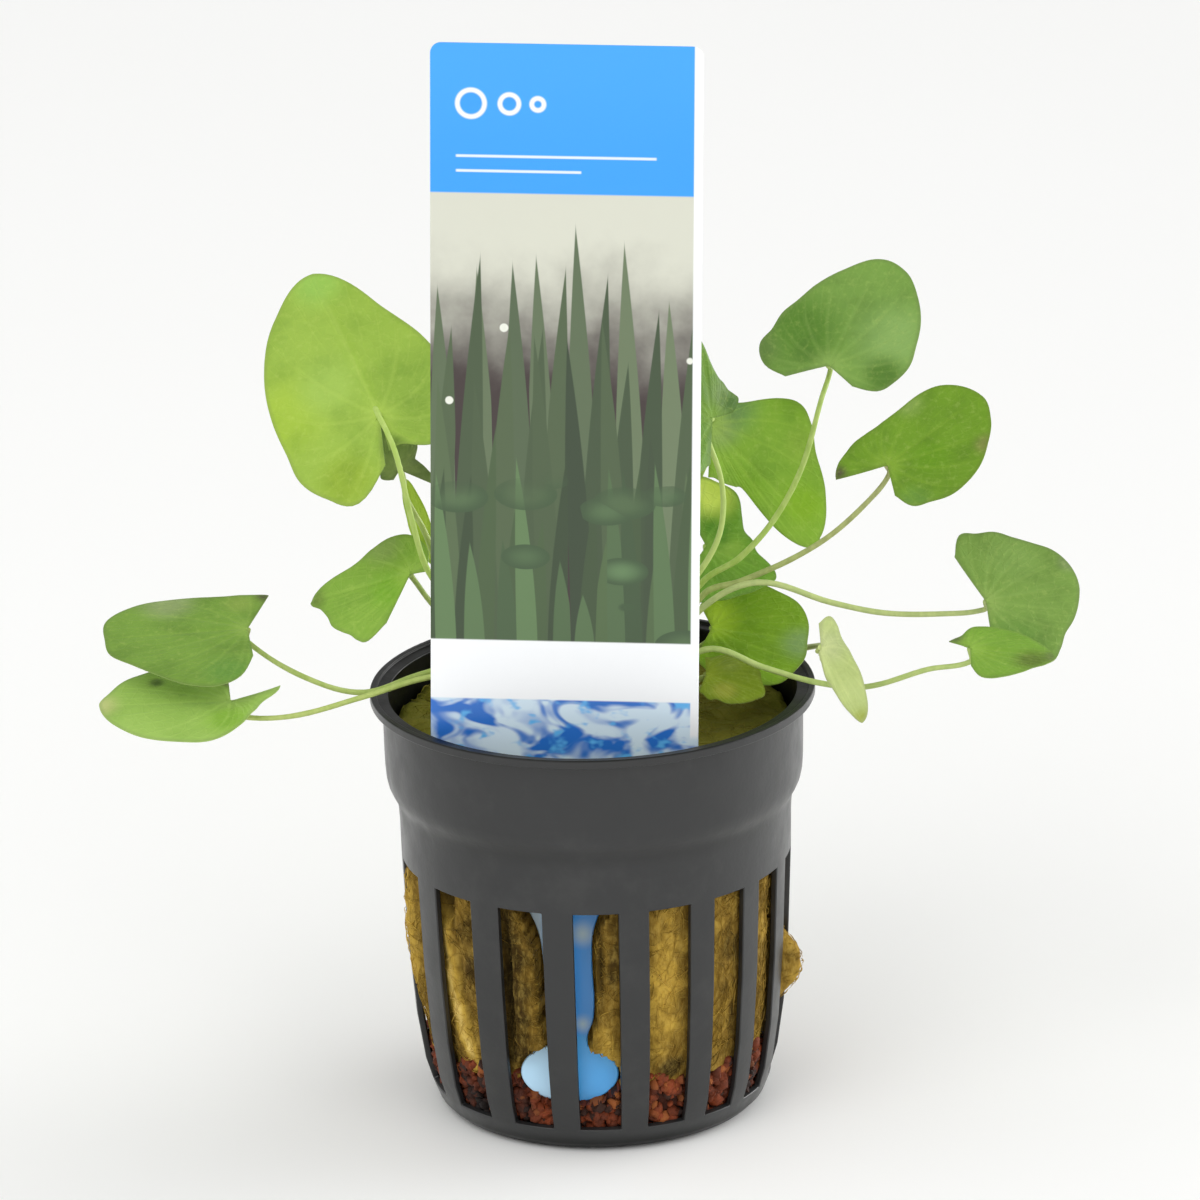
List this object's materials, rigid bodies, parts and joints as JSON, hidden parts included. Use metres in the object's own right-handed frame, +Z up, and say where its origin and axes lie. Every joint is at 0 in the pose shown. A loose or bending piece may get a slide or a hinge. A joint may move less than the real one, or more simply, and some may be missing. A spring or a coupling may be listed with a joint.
{
  "type": "potted floating heart",
  "caption": "Young floating heart water plant in a small black slotted net pot with rock wool, a clay layer and a flat stick-in plant label.",
  "frame": {"origin": "centre of the pot's flat base, on the surface it stands on", "axes": "+Z up along the pot's axis, -Y towards the printed side of the label, +X to the label's right"},
  "size_m": [0.1201, 0.061, 0.1388],
  "materials": {
    "pot": "satin black plastic",
    "rock_wool": "wet mustard-brown mineral fibre",
    "clay": "matt red-brown grit",
    "label": "satin printed card",
    "leaf": "waxy leaf",
    "stem": "smooth pale stalk"
  },
  "bodies": {
    "root": {"pot": "pot", "rock_wool": "rock_wool", "clay_layer": "clay", "label": "label", "leaf_upper_left": "leaf", "leaf_behind_left": "leaf", "leaf_young_left": "leaf", "leaf_mid_left": "leaf", "leaf_far_left_high": "leaf", "leaf_far_left_low": "leaf", "leaf_upper_right": "leaf", "leaf_mid_right": "leaf", "leaf_far_right_high": "leaf", "leaf_far_right_low": "leaf", "leaf_inner_right": "leaf", "leaf_behind_label_right": "leaf", "leaf_light_right": "leaf", "leaf_pot_right": "leaf", "leaf_pot_right_low": "leaf", "leaf_rim_right": "leaf", "leaf_back_left": "leaf", "leaf_back_middle": "leaf", "leaf_back_right": "leaf", "stem_upper_left": "stem", "stem_behind_left": "stem", "stem_young_left": "stem", "stem_mid_left": "stem", "stem_far_left_high": "stem", "stem_far_left_low": "stem", "stem_upper_right": "stem", "stem_mid_right": "stem", "stem_far_right_high": "stem", "stem_far_right_low": "stem", "stem_inner_right": "stem", "stem_behind_label_right": "stem", "stem_light_right": "stem", "stem_pot_right": "stem", "stem_pot_right_low": "stem", "stem_rim_right": "stem", "stem_back_left": "stem", "stem_back_middle": "stem", "stem_back_right": "stem"}
  },
  "joints": []
}
